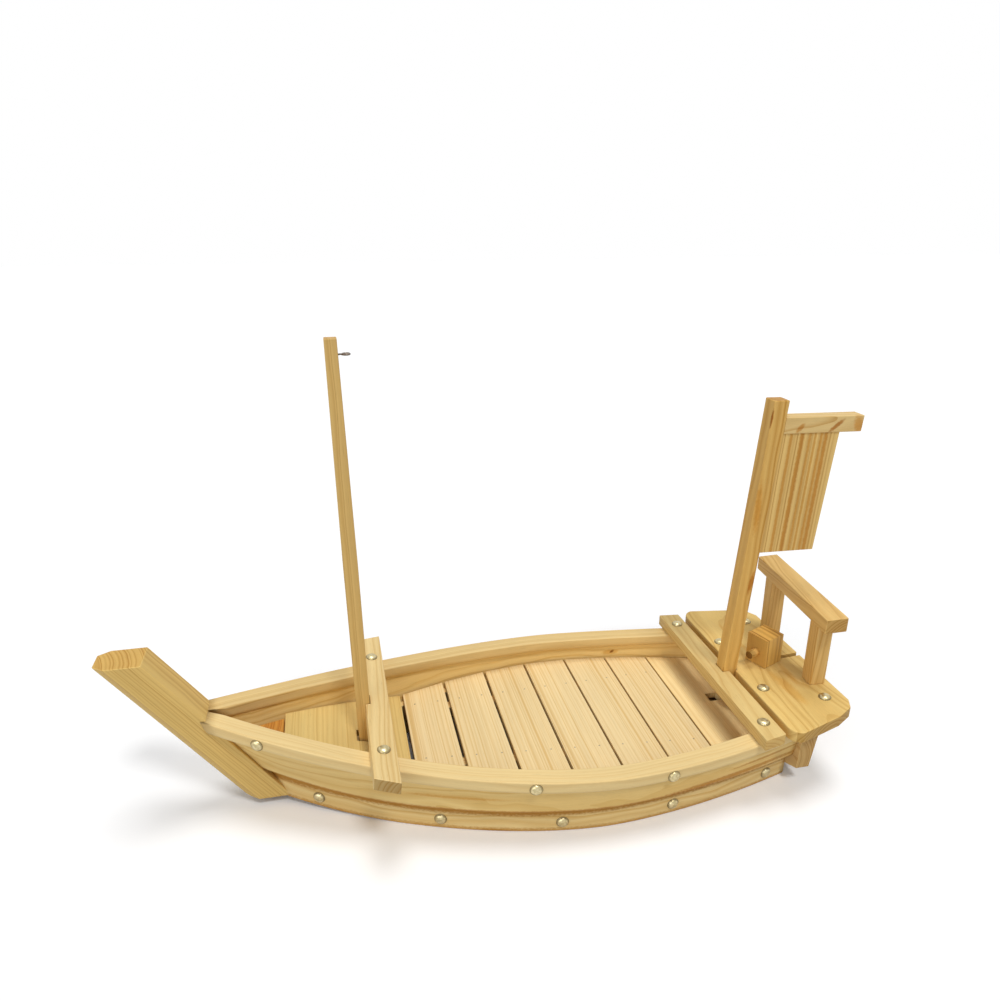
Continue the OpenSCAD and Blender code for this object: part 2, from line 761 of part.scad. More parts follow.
module thwart_nails() {
    color(steel) both_sides() thwart_nail_places() dome_nail();
}

module stern_deck_nails() {
    color(steel) both_sides() stern_nail_places() dome_nail();
}

// Small brads that hold each slat to the bearers
module brad_places(port) {
    for (i = [1:6]) for (t = [0.25, 0.76])
        along_bearer(port) translate([gap_x(i) + slat_pitch*t - deck_x, 0, 0]) children();
}

module brad_hole() {
    translate([0, 0, -9]) cylinder(r = 0.6, h = 10, $fn = 16);
}

module deck_brads() {
    color(steel) for (port = [true, false]) brad_places(port)
        translate([0, 0, -9]) cylinder(r = 0.6, h = 9.05, $fn = 16);
}

module placed() {
    translate([centre_x, 0, 0]) children();
}

placed() stem_post();
placed() bow_block();
placed() transom();
placed() stern_beam();
placed() lower_strake(true);  // lower_strake_port
placed() lower_strake(false);  // lower_strake_starboard
placed() upper_strake(true);  // upper_strake_port
placed() upper_strake(false);  // upper_strake_starboard
placed() gunwale(true);  // gunwale_port
placed() gunwale(false);  // gunwale_starboard
for (i = [1:5]) placed() floor_frame(i);
placed() bearer(true);  // bearer_port
placed() bearer(false);  // bearer_starboard
placed() mast_step();
placed() flag_step();
placed() foredeck_panel();
for (i = [1:6]) placed() deck_slat(i);
placed() aft_deck_board();
placed() fore_thwart();
placed() aft_thwart();
placed() stern_deck();
placed() rail_post(true);  // rail_post_port
placed() rail_post(false);  // rail_post_starboard
placed() rail_bar();
placed() mast();
placed() mast_screw_eye();
placed() flag_post();
placed() flag_yard();
placed() flag_panel();
placed() rudder_head();
placed() tiller_peg();
placed() rudder_pin();
placed() gunwale_nails();
placed() strake_nails();
placed() thwart_nails();
placed() stern_deck_nails();
placed() deck_brads();
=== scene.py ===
import bmesh
import bpy
import math
from mathutils import Matrix, Vector


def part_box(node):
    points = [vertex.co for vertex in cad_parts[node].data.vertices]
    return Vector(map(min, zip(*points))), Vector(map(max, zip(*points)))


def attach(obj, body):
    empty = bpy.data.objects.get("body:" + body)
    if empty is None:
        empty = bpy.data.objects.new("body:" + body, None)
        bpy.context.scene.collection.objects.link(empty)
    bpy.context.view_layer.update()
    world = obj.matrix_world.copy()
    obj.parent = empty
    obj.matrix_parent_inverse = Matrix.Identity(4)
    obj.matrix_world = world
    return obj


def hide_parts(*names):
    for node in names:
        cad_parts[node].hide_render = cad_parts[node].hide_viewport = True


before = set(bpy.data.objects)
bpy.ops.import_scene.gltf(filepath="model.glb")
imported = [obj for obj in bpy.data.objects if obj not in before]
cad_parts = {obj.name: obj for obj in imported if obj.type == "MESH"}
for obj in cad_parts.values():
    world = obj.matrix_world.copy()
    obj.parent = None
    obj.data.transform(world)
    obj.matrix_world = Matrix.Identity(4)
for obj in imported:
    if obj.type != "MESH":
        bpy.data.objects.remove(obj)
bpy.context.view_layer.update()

# Lower strakes
# The bottom planks of the hull, thin pine bent round the floor frames and nailed to them.
# Their top edges lie close under the deck, and their fore ends butt against the stem.
MM = 0.001
CENTRE_X = -3.05  # where the hull's own zero lies, from the middle of the overall box
BEAM_X = 69
PLAN_POWER = 1.75
FORE_RISE_X = -60
TRANSOM_X = 212
PLANK_END_X = TRANSOM_X - 0.1
STEM_FOOT_X = -139.0
STEM_SLOPE = 0.6594
STEM_HALF = 11.8
STEM_CLEARANCE = 0.05
BUTT_START_X = -150
BUTT_ROUNDS = 30
BUTT_STEP = 0.1
BUTT_STEPS = 60
DECK_HEIGHT = 30.7
DECK_MIDDLE_X = 48
DECK_FALL = math.tan(math.radians(1))
LOWER_PLAN = (80.5, 235.5, 290)  # half breadth, and the reach of its curve fore and aft
LOWER_THICKNESS = 6
LOWER_EDGES = (0.8, 0.5, 0.5, 0.8)
LOWER_BELOW_DECK = 5.15
LOWER_FOOT_RISE = 0.00075
LOWER_TOP_RISE = 0.0006
LOWER_LEAST = 0.3
INNER_LEAST = 0.15
PLANK_STATIONS = 64
STATION_POWER = 0.9
BEND_STRETCH = 1.06
CORNER_STEPS = 4
CORNER_SHARE = 0.4
ALONG_LOG = (1, 0, 0)
# Painted shade on the bottom planks: where it lies in the log under the lap and along the foot, its width and
# its length
LAP_SHADE = (0, 17.6, 0.8)
FOOT_SHADE = (0, -1.0, 0.3)
LOWER_SHADE_WIDTH = 5.0
SHADE_LENGTH = 600


def plan(x, half, fore, aft):
    """Half breadth of a hull line at a place along the boat, in millimetres."""
    reach = fore if x < BEAM_X else aft
    return half * (1 - (abs(x - BEAM_X) / reach) ** PLAN_POWER)


def across(line, x, thickness):
    """A plank's thickness measured straight across the boat."""
    slope = (line(x + 1) - line(x - 1)) / 2
    return thickness * math.hypot(1, slope)


def fore_rise(x):
    """How far a place lies into the rising bow, squared."""
    return max(0, FORE_RISE_X - x) ** 2


def lower_line(x):
    """Outer line of the bottom plank, as a half breadth."""
    return plan(x, *LOWER_PLAN)


def deck_height(x):
    """Top of the deck, which falls a little towards the stern."""
    return DECK_HEIGHT - (x - DECK_MIDDLE_X) * DECK_FALL


def lower_section(x):
    """Outline of the bottom plank at a place along the boat, as (breadth, height)."""
    y = max(LOWER_LEAST, lower_line(x))
    inner = max(INNER_LEAST, y - across(lower_line, x, LOWER_THICKNESS))
    low = LOWER_FOOT_RISE * fore_rise(x)
    high = deck_height(max(x, FORE_RISE_X)) - LOWER_BELOW_DECK + LOWER_TOP_RISE * fore_rise(x)
    return rounded([(y, low), (y, high), (inner, high), (inner, low)], LOWER_EDGES)


def rounded(corners, radii):
    """Outline of a section with each corner rounded off by its own radius."""
    outline = []
    for i, (corner, radius) in enumerate(zip(corners, radii)):
        here = Vector(corner)
        back = Vector(corners[i - 1]) - here
        ahead = Vector(corners[(i + 1) % len(corners)]) - here
        reach = min(radius, CORNER_SHARE * back.length, CORNER_SHARE * ahead.length)
        start = here + back.normalized() * reach
        end = here + ahead.normalized() * reach
        for step in range(CORNER_STEPS + 1):
            t = step / CORNER_STEPS
            outline.append(start * (1 - t) ** 2 + here * 2 * t * (1 - t) + end * t * t)
    return outline


def butt_x(section, index, last):
    """Where a line of the plank ends: on the stem's aft face, or a little on along its side."""
    x = BUTT_START_X
    for _ in range(BUTT_ROUNDS):
        x = min(last, STEM_FOOT_X - STEM_SLOPE * section(x)[index][1])
    for _ in range(BUTT_STEPS):
        if section(x)[index][0] > STEM_HALF + STEM_CLEARANCE:
            x -= BUTT_STEP
    return x


def set_grain(mesh, places, ends):
    """Stores each point's place in the log it was sawn from, and which faces show end grain."""
    log = mesh.attributes.new("log", "FLOAT_VECTOR", "POINT")
    log.data.foreach_set("vector", [c for place in places for c in place])
    end = mesh.attributes.new("end_grain", "FLOAT", "FACE")
    end.data.foreach_set("value", ends)


def put(name, data):
    """Puts a mesh, a lamp or a camera into the scene."""
    obj = bpy.data.objects.new(name, data)
    bpy.context.scene.collection.objects.link(obj)
    return obj


def smooth(mesh, material):
    """Shades a mesh smooth and gives it its material."""
    for face in mesh.polygons:
        face.use_smooth = True
    mesh.materials.append(material)


def dress(obj, material, body="hull"):
    smooth(obj.data, material)
    flats = obj.modifiers.new("flat_faces", "WEIGHTED_NORMAL")
    flats.keep_sharp = True
    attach(obj, body)


def bent_plank(name, section, last_x, side, log_place):
    """Plank lofted from the stem to last_x. section(x) is its outline as (breadth, height)."""
    count = len(section(0))
    starts = [butt_x(section, j, last_x) for j in range(count)]
    points = []
    places = []
    for i in range(PLANK_STATIONS + 1):
        t = (i / PLANK_STATIONS) ** STATION_POWER
        for j in range(count):
            x = starts[j] + (last_x - starts[j]) * t
            y, z = section(x)[j]
            points.append(Vector((x + CENTRE_X, side * y, z)) * MM)
            low_y, low_z = section(x)[0]
            place = Vector((x * BEND_STRETCH, z - low_z, y - low_y)) + Vector(log_place)
            places.append(place * MM)
    faces = []
    for i in range(PLANK_STATIONS):
        for j in range(count):
            k = (j + 1) % count
            quad = [i * count + j, i * count + k, (i + 1) * count + k, (i + 1) * count + j]
            faces.append(quad if side > 0 else quad[::-1])
    start_cap = list(range(count))
    end_cap = [PLANK_STATIONS * count + j for j in range(count)]
    faces += [start_cap[::-1] if side > 0 else start_cap, end_cap if side > 0 else end_cap[::-1]]
    mesh = bpy.data.meshes.new(name)
    mesh.from_pydata(points, [], faces)
    set_grain(mesh, places, [0.0] * (len(faces) - 2) + [1.0, 1.0])
    return put(name, mesh)


def add_node(tree, kind, label, **settings):
    """A shader node with its plain settings and unlinked input values filled in."""
    made = tree.nodes.new(kind)
    made.label = label
    for key, value in settings.items():
        if hasattr(made, key):
            setattr(made, key, value)
        else:
            made.inputs[key].default_value = value
    return made


def feed(tree, socket, value):
    """Links a socket to the one that feeds it, or sets it to a plain value."""
    if isinstance(value, bpy.types.NodeSocket):
        tree.links.new(value, socket)
    else:
        socket.default_value = value


def math_node(tree, operation, label, *values):
    """A Math node whose inputs are sockets or plain numbers."""
    made = add_node(tree, "ShaderNodeMath", label, operation=operation)
    for socket, value in zip(made.inputs, values):
        feed(tree, socket, value)
    return made.outputs[0]


def vector_node(tree, operation, label, *values):
    """A Vector Math node whose inputs are sockets or plain vectors."""
    made = add_node(tree, "ShaderNodeVectorMath", label, operation=operation)
    for socket, value in zip(made.inputs, values):
        feed(tree, socket, value)
    return made.outputs["Value" if operation in ("LENGTH", "DOT_PRODUCT") else "Vector"]


def scale_node(tree, label, vector, size):
    """A vector or a colour made larger or smaller by a value."""
    made = add_node(tree, "ShaderNodeVectorMath", label, operation="SCALE")
    tree.links.new(vector, made.inputs[0])
    tree.links.new(size, made.inputs["Scale"])
    return made.outputs[0]


def range_node(tree, label, value, low, high, to_low=0.0, to_high=1.0, curve="LINEAR"):
    """Spreads the stretch of a value from low to high over a new range."""
    made = add_node(tree, "ShaderNodeMapRange", label, interpolation_type=curve,
                    **{"From Min": low, "From Max": high})
    tree.links.new(value, made.inputs["Value"])
    feed(tree, made.inputs["To Min"], to_low)
    feed(tree, made.inputs["To Max"], to_high)
    return made.outputs["Result"]


def mix_colour(tree, label, mask, under, over, way="MIX"):
    """Mixes two colours by a mask. A Mix node has its colours at inputs 6 and 7 and at output 2."""
    made = add_node(tree, "ShaderNodeMix", label, data_type="RGBA", blend_type=way)
    tree.links.new(mask, made.inputs["Factor"])
    feed(tree, made.inputs[6], under)
    feed(tree, made.inputs[7], over)
    return made.outputs[2]


def noise_at(tree, label, place, stretch, detail=2.0):
    """Noise stretched along the grain: stretch is its fineness along, up and through the board."""
    scaled = vector_node(tree, "MULTIPLY", label + " place", place, stretch)
    made = add_node(tree, "ShaderNodeTexNoise", label, Scale=1.0, Detail=detail, Roughness=0.55)
    tree.links.new(scaled, made.inputs["Vector"])
    return made


def node_group(name, inputs, outputs):
    """An empty node group with named sockets: its tree, what it is given and what it puts out."""
    tree = bpy.data.node_groups.new(name, "ShaderNodeTree")
    for direction, sockets in (("INPUT", inputs), ("OUTPUT", outputs)):
        for socket, kind in sockets:
            tree.interface.new_socket(socket, in_out=direction, socket_type="NodeSocket" + kind)
    return tree, tree.nodes.new("NodeGroupInput").outputs, tree.nodes.new("NodeGroupOutput").inputs


def make_pine_grain():
    """Growth rings, fibres and resin flecks of a pine board, from its place in the log."""
    tree, given, result = node_group(
        "pine_grain",
        [("Log", "Vector"), ("End Grain", "Float"), ("Early Wood", "Color"), ("Late Wood", "Color"),
         ("Ring Width", "Float"), ("Wander", "Float"), ("Flecks", "Float"), ("End Shade", "Float")],
        [("Color", "Color"), ("Roughness", "Float"), ("Height", "Float")])
    place = vector_node(tree, "MULTIPLY", "millimetres", given["Log"], (1000, 1000, 1000))

    # Rings: distance from the log's middle, with a slow wander along the tree
    slow = noise_at(tree, "slow wander", place, (0.011, 0.03, 0.03))
    centred = vector_node(tree, "SUBTRACT", "centred wander", slow.outputs["Color"], (0.5, 0.5, 0.5))
    drift = scale_node(tree, "wander size", centred, given["Wander"])
    moved = vector_node(tree, "ADD", "wandering place", place, drift)
    radial = vector_node(tree, "MULTIPLY", "across the log", moved, (0, 1, 1))
    radius = vector_node(tree, "LENGTH", "distance from the pith", radial)
    rings = math_node(tree, "DIVIDE", "ring count", radius, given["Ring Width"])
    pace = add_node(tree, "ShaderNodeTexNoise", "pace of growth", noise_dimensions="1D", Scale=0.45,
                    Detail=1.0)
    tree.links.new(rings, pace.inputs["W"])
    uneven = math_node(tree, "MULTIPLY_ADD", "uneven years", pace.outputs["Fac"], 2.2, rings)
    year = math_node(tree, "FLOOR", "year", uneven)
    season = math_node(tree, "FRACT", "season", uneven)
    late = add_node(tree, "ShaderNodeValToRGB", "late wood in a ring")
    ramp = late.color_ramp
    for position, value in [(0.0, 0.5), (0.1, 0.04), (0.5, 0.12), (0.82, 0.8), (0.93, 1.0), (1.0, 0.5)]:
        stop = ramp.elements.new(position) if 0 < position < 1 else ramp.elements[int(position)]
        stop.color = (value, value, value, 1)
    tree.links.new(season, late.inputs["Fac"])
    luck = add_node(tree, "ShaderNodeTexWhiteNoise", "good and bad years", noise_dimensions="1D")
    tree.links.new(year, luck.inputs["W"])
    vigour = math_node(tree, "MULTIPLY_ADD", "vigour", luck.outputs["Value"], 0.75, 0.3)
    dark = math_node(tree, "MULTIPLY", "late wood", late.outputs["Color"], vigour)

    # Fibres and flecks drawn out along the board, and broad changes of tone
    fibre = noise_at(tree, "fibres", place, (0.035, 1.5, 1.5), detail=3.0)
    fleck = noise_at(tree, "resin flecks", place, (0.09, 2.4, 2.4))
    fleck_mask = range_node(tree, "fleck mask", fleck.outputs["Fac"], 0.62, 0.74)
    flecks = math_node(tree, "MULTIPLY", "flecks", fleck_mask, given["Flecks"])
    broad = noise_at(tree, "broad tone", place, (0.007, 0.05, 0.05))
    fibre_tone = math_node(tree, "MULTIPLY_ADD", "fibre tone", fibre.outputs["Fac"], 0.2, 0.9)
    broad_tone = math_node(tree, "MULTIPLY_ADD", "broad tone", broad.outputs["Fac"], 0.24, 0.88)
    tone = math_node(tree, "MULTIPLY", "tone", fibre_tone, broad_tone)
    fleck_shade = math_node(tree, "MULTIPLY_ADD", "fleck shade", flecks, -0.22, 1.0)
    shade = math_node(tree, "MULTIPLY", "shade", tone, fleck_shade)

    # The wood's colour: rings stand out more in end grain, which is darker and warmer
    end_rings = math_node(tree, "MULTIPLY_ADD", "open end grain", given["End Grain"], 0.6, 1.0)
    ring_tone = math_node(tree, "MULTIPLY", "ring tone", dark, end_rings)
    wood = mix_colour(tree, "early and late wood", ring_tone, given["Early Wood"], given["Late Wood"])
    end_shade = math_node(tree, "MULTIPLY", "end grain shade", given["End Grain"], given["End Shade"])
    end_tone = math_node(tree, "SUBTRACT", "end grain tone", 1.0, end_shade)
    whole = math_node(tree, "MULTIPLY", "whole tone", shade, end_tone)
    toned = scale_node(tree, "toned wood", wood, whole)
    warmed = mix_colour(tree, "warm end grain", given["End Grain"], toned, (1.0, 0.92, 0.78, 1), "MULTIPLY")
    tree.links.new(warmed, result["Color"])

    # The surface: fibres and late wood stand up, flecks lie lower
    gloss = math_node(tree, "MULTIPLY_ADD", "roughness", fibre.outputs["Fac"], 0.2, 0.42)
    tree.links.new(gloss, result["Roughness"])
    hollow = math_node(tree, "SUBTRACT", "fibre relief", fibre.outputs["Fac"], flecks)
    relief = math_node(tree, "MULTIPLY_ADD", "relief", dark, 0.35, hollow)
    tree.links.new(relief, result["Height"])
    return tree


pine_grain = make_pine_grain()


def new_material(name):
    """A material with its node tree and its surface shader."""
    material = bpy.data.materials.new(name)
    material.use_nodes = True
    return material, material.node_tree, material.node_tree.nodes["Principled BSDF"]


def pine(name, early, late, ring=2.4, wander=5.0, flecks=0.7, end_shade=0.2):
    """Planed, clear-lacquered pine. Ring and wander are in millimetres."""
    material, tree, surface = new_material(name)
    surface.inputs["IOR"].default_value = 1.45
    surface.inputs["Specular IOR Level"].default_value = 0.2
    grain = add_node(tree, "ShaderNodeGroup", "pine grain", node_tree=pine_grain, **{
        "Early Wood": (*early, 1), "Late Wood": (*late, 1), "Ring Width": ring, "Wander": wander,
        "Flecks": flecks, "End Shade": end_shade})
    log = add_node(tree, "ShaderNodeAttribute", "place in the log", attribute_name="log")
    end = add_node(tree, "ShaderNodeAttribute", "end grain", attribute_name="end_grain")
    relief = add_node(tree, "ShaderNodeBump", "grain relief", Strength=0.25, Distance=0.0002)
    tree.links.new(log.outputs["Vector"], grain.inputs["Log"])
    tree.links.new(end.outputs["Fac"], grain.inputs["End Grain"])
    tree.links.new(grain.outputs["Color"], surface.inputs["Base Color"])
    tree.links.new(grain.outputs["Roughness"], surface.inputs["Roughness"])
    tree.links.new(grain.outputs["Height"], relief.inputs["Height"])
    tree.links.new(relief.outputs["Normal"], surface.inputs["Normal"])
    return material


def make_wood_streak():
    """Mask of a knot, a resin streak or a line of painted shade inside a board, from its place in the log in
    millimetres.
    """
    tree, given, result = node_group(
        "wood_streak",
        [("Log", "Vector"), ("Place", "Vector"), ("Lie", "Vector"), ("Length", "Float"), ("Width", "Float")],
        [("Mask", "Float")])
    place = vector_node(tree, "MULTIPLY", "millimetres", given["Log"], (1000, 1000, 1000))
    away = vector_node(tree, "SUBTRACT", "from its middle", place, given["Place"])
    run = vector_node(tree, "DOT_PRODUCT", "along the streak", away, given["Lie"])
    ahead = scale_node(tree, "nearest point", given["Lie"], run)
    beside = vector_node(tree, "SUBTRACT", "from the nearest point", away, ahead)
    aside = vector_node(tree, "LENGTH", "beside it", beside)
    along_share = math_node(tree, "DIVIDE", "share of its length", run, given["Length"])
    aside_share = math_node(tree, "DIVIDE", "share of its width", aside, given["Width"])
    aside_square = math_node(tree, "MULTIPLY", "width share squared", aside_share, aside_share)
    squares = math_node(tree, "MULTIPLY_ADD", "squares", along_share, along_share, aside_square)
    ragged = noise_at(tree, "ragged edge", place, (0.5, 0.8, 0.8))
    edge = math_node(tree, "MULTIPLY_ADD", "edge", ragged.outputs["Fac"], 0.9, squares)
    mask = range_node(tree, "soft edge", edge, 0.55, 1.45, 1.0, 0.0, "SMOOTHSTEP")
    tree.links.new(mask, result["Mask"])
    return tree


wood_streak = make_wood_streak()


def streak(material, place, lie, length, width, tint):
    """Darkens a material along one streak: a knot, a resin streak or painted shade. Place, length and width
    are millimetres in the log.
    """
    tree = material.node_tree
    base = tree.nodes["Principled BSDF"].inputs["Base Color"]
    mark = add_node(tree, "ShaderNodeGroup", "streak", node_tree=wood_streak, Place=place,
                    Lie=Vector(lie).normalized(), Length=length, Width=width)
    log = add_node(tree, "ShaderNodeAttribute", "place in the log", attribute_name="log")
    tree.links.new(log.outputs["Vector"], mark.inputs["Log"])
    stain_and_shade = mix_colour(tree, "stain and painted shade", mark.outputs["Mask"], base.links[0].from_socket, (*tint, 1),
                         "MULTIPLY")
    tree.links.new(stain_and_shade, base)


strake_pine = pine("lower_strake_pine", (0.88, 0.66, 0.3), (0.7, 0.44, 0.14), ring=3.4, wander=9)
for side, name, log_place in [(-1, "port", (0, 14, 42)), (1, "starboard", (900, -22, 38))]:
    # The dark line under the lap and the brown edge along the foot are partly the planks' own shade and
    # partly painted shade in the wood
    for offset, tint in [(LAP_SHADE, (0.55, 0.36, 0.15)), (FOOT_SHADE, (0.68, 0.5, 0.3))]:
        shade_place = Vector(log_place) + Vector(offset)
        streak(strake_pine, shade_place, ALONG_LOG, SHADE_LENGTH, LOWER_SHADE_WIDTH, tint)
    plank = bent_plank("lower_plank_" + name, lower_section, PLANK_END_X, side, log_place)
    dress(plank, strake_pine)
    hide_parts("lower_strake_" + name)

# Upper strakes
# The side planks, lapped outside the lower ones and let into a groove under the gunwale.
# They lean outwards. Their rounded lower edge and painted shade along its foot make the dark lap line along
# the hull.
UPPER_TOP_PLAN = (89.5, 271, 326)
UPPER_LOW_PLAN = (86.5, 245, 305)
UPPER_THICKNESS = 5.5
UPPER_EDGES = (3.0, 0.3, 0.3, 0.6)
UPPER_LEAST = 0.4
LAP_HEIGHT = 21.5
LAP_RISE = 0.0009
SHEER_LOW = 49.8
SHEER_LOW_X = 114
SHEER_CURVE = 0.000297
GUNWALE_HEIGHT = 9.5
GROOVE_DEPTH = 5.5
GROOVE_CLEARANCE = 0.1
# Painted shade along the side plank's foot: where it lies in the log, and its width
UPPER_SHADE = (0, 0, 2.2)
UPPER_SHADE_WIDTH = 3.0


def sheer(x):
    """Top of the gunwale, lowest towards the stern and rising to both ends."""
    return SHEER_LOW + SHEER_CURVE * (x - SHEER_LOW_X) ** 2


def lap(x):
    """Lower edge of the side plank."""
    return LAP_HEIGHT + LAP_RISE * fore_rise(x)


def upper_section(x):
    """Outline of the side plank at a place along the boat, as (breadth, height)."""
    top_y = plan(x, *UPPER_TOP_PLAN)
    low_y = plan(x, *UPPER_LOW_PLAN)
    high = sheer(x) - GUNWALE_HEIGHT + GROOVE_DEPTH - GROOVE_CLEARANCE
    corners = [(max(UPPER_LEAST, low_y), lap(x)), (max(UPPER_LEAST, top_y), high),
               (max(INNER_LEAST, top_y - UPPER_THICKNESS), high),
               (max(INNER_LEAST, low_y - UPPER_THICKNESS), lap(x))]
    return rounded(corners, UPPER_EDGES)


upper_pine = pine("upper_strake_pine", (0.88, 0.65, 0.27), (0.69, 0.43, 0.12), ring=4.2, wander=12)
streak(upper_pine, (1633.6, 24.5, 34.6), (0.8, 0.6, 0), 2.6, 1.5, (0.35, 0.2, 0.09))
streak(upper_pine, (1632, 24, 34.6), (1, 0.1, 0), 9, 3, (0.85, 0.72, 0.5))
streak(upper_pine, (470, -5, 35.8), (1, 0.03, 0), 75, 2.8, (0.66, 0.46, 0.24))
streak(upper_pine, (500, 3, 36.8), (1, 0.05, 0), 45, 1.6, (0.72, 0.53, 0.3))
streak(upper_pine, (250, 5, 36.8), (1, -0.02, 0), 60, 2.2, (0.86, 0.7, 0.48))
for side, name, log_place in [(-1, "port", (300, -9, 33)), (1, "starboard", (1500, 12, 36))]:
    # Painted shade along the plank's foot darkens the lap line
    shade_place = Vector(log_place) + Vector(UPPER_SHADE)
    streak(upper_pine, shade_place, ALONG_LOG, SHADE_LENGTH, UPPER_SHADE_WIDTH, (0.66, 0.46, 0.26))
    plank = bent_plank("upper_plank_" + name, upper_section, PLANK_END_X, side, log_place)
    dress(plank, upper_pine)
    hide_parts("upper_strake_" + name)

# Gunwales
# The cap rails, sawn from pine to the hull's curve, grooved over the upper strakes and nailed from the side.
# They run under the stern deck. Their tops are flat, and their lower edges rounded, more on the inside.
GUNWALE_PLAN = (92, 284, 332)
GUNWALE_WIDTH = 13.7
GUNWALE_EDGES = (3.0, 1.2, 1.0, 5.0)
GUNWALE_END_X = 237.5


def gunwale_line(x):
    """Outer line of the cap rail, as a half breadth."""
    return plan(x, *GUNWALE_PLAN)


def gunwale_section(x):
    """Outline of the cap rail at a place along the boat, as (breadth, height)."""
    y = gunwale_line(x)
    inner = max(INNER_LEAST, y - across(gunwale_line, x, GUNWALE_WIDTH))
    low = sheer(x) - GUNWALE_HEIGHT
    return rounded([(y, low), (y, sheer(x)), (inner, sheer(x)), (inner, low)], GUNWALE_EDGES)


gunwale_pine = pine("gunwale_pine", (0.83, 0.635, 0.305), (0.71, 0.48, 0.19), ring=3.0, wander=8)
golden_gunwale_pine = pine("golden_gunwale_pine", (0.77, 0.57, 0.26), (0.62, 0.4, 0.14), ring=3.0, wander=8)
for side, name, log_place, wood in [(-1, "port", (500, 20, 60), gunwale_pine),
                                    (1, "starboard", (2100, -26, 52), golden_gunwale_pine)]:
    cap = bent_plank("gunwale_rail_" + name, gunwale_section, GUNWALE_END_X, side, log_place)
    dress(cap, wood)
    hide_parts("gunwale_" + name)

# Stem post
# A square pine post raked forward at the bow, its front bevelled to a narrow nose and its foot rounded.
# The planks butt against its aft face. Its level top shows the growth rings.
STEM_RAKE = math.radians(33.4)
STEM_ALONG = (-math.sin(STEM_RAKE), 0, math.cos(STEM_RAKE))
CROSSWISE = (0, 1, 0)
WELD = 2e-6
FLAT_ANGLE = math.radians(0.6)
SHARP_ANGLE = math.radians(20)
SHORTEST_ARRIS = 0.7 * MM
ARRIS_STEPS = 3
END_FACING = 0.75


def planed_board(name, node, along, face, log_place, arris, tilt=0.0):
    """The CAD board with its arrises eased. along is the grain, and face is where its broad side looks.

    log_place is where its middle lay in the log, and tilt is how far the grain runs out of the face.
    """
    mesh = bpy.data.meshes.new(name)
    shape = bmesh.new()
    shape.from_mesh(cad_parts[node].data)
    bmesh.ops.remove_doubles(shape, verts=shape.verts, dist=WELD)
    bmesh.ops.dissolve_limit(shape, angle_limit=FLAT_ANGLE, verts=shape.verts, edges=shape.edges)
    sharp = [e for e in shape.edges if len(e.link_faces) == 2 and e.is_convex
             and e.calc_face_angle() > SHARP_ANGLE and e.calc_length() > SHORTEST_ARRIS]
    bmesh.ops.bevel(shape, geom=sharp, offset=arris * MM, offset_type="OFFSET", segments=ARRIS_STEPS,
                    profile=0.5, affect="EDGES", clamp_overlap=True)
    bmesh.ops.recalc_face_normals(shape, faces=shape.faces)
    shape.to_mesh(mesh)
    shape.free()
    low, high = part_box(node)
    middle = (low + high) / 2
    along = Vector(along).normalized()
    side = Vector(face).cross(along).normalized()
    face = along.cross(side)
    places = []
    for vertex in mesh.vertices:
        offset = vertex.co - middle
        run = offset.dot(along)
        place = Vector((run, offset.dot(side), offset.dot(face) + tilt * run))
        places.append(place + Vector(log_place) * MM)
    ends = [1.0 if abs(polygon.normal.dot(along)) > END_FACING else 0.0 for polygon in mesh.polygons]
    set_grain(mesh, places, ends)
    obj = put(name, mesh)
    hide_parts(node)
    return obj


stem_pine = pine("stem_pine", (0.79, 0.555, 0.19), (0.53, 0.29, 0.065), ring=2.1, wander=4, end_shade=0.12)
stem = planed_board("stem_bar", "stem_post", STEM_ALONG, CROSSWISE, (0, 46, 14), arris=0.7)
dress(stem, stem_pine)

# Bow block
# A small pine wedge between the planks behind the stem, cut so that its top is reddish end grain.
# It is glued to both planks and carries the foredeck's front edge.
UPRIGHT = (0, 0, 1)
LENGTHWISE = (1, 0, 0)
block_pine = pine("bow_block_pine", (0.66, 0.33, 0.07), (0.48, 0.19, 0.035), ring=2.2, wander=4,
                  end_shade=0.05)
block = planed_board("bow_wedge", "bow_block", UPRIGHT, LENGTHWISE, (0, 8, 30), arris=0.3)
dress(block, block_pine)

# Transom, stern beam and floor frames
# Plain sawn pine bars across the boat that hold the planks apart. The lower strakes are nailed to the frames.
# The transom closes the stern, and its ends stand out past the planks.
FRAME_COUNT = 5
frame_pine = pine("frame_pine", (0.74, 0.53, 0.24), (0.54, 0.32, 0.11), ring=2.6, wander=6, end_shade=0.22)
cross_bars = [("transom", "stern_board", (40, 9, 34)), ("stern_beam", "stern_bar", (240, 20, 30))]
cross_bars += [(f"floor_frame_{i}", f"bottom_bar_{i}", (400 + 170 * i, 12, 36))
               for i in range(1, FRAME_COUNT + 1)]
for node, name, log_place in cross_bars:
    bar = planed_board(name, node, CROSSWISE, LENGTHWISE, log_place, arris=0.5, tilt=0.03)
    dress(bar, frame_pine)

# Bearers and steps
# Pine strips under the deck that the slats are pinned to, seen as pale stretches in the gaps.
# The mast stands in a drilled block, and the flag post on a ledge glued under the stern beam.
for node, name, along, log_place in [
        ("bearer_port", "deck_strip_port", LENGTHWISE, (1700, 16, 24)),
        ("bearer_starboard", "deck_strip_starboard", LENGTHWISE, (2300, -9, 28)),
        ("mast_step", "mast_foot_block", CROSSWISE, (2700, 10, 18)),
        ("flag_step", "flag_foot_ledge", CROSSWISE, (2900, -8, 20))]:
    strip = planed_board(name, node, along, UPRIGHT, log_place, arris=0.3)
    dress(strip, frame_pine)

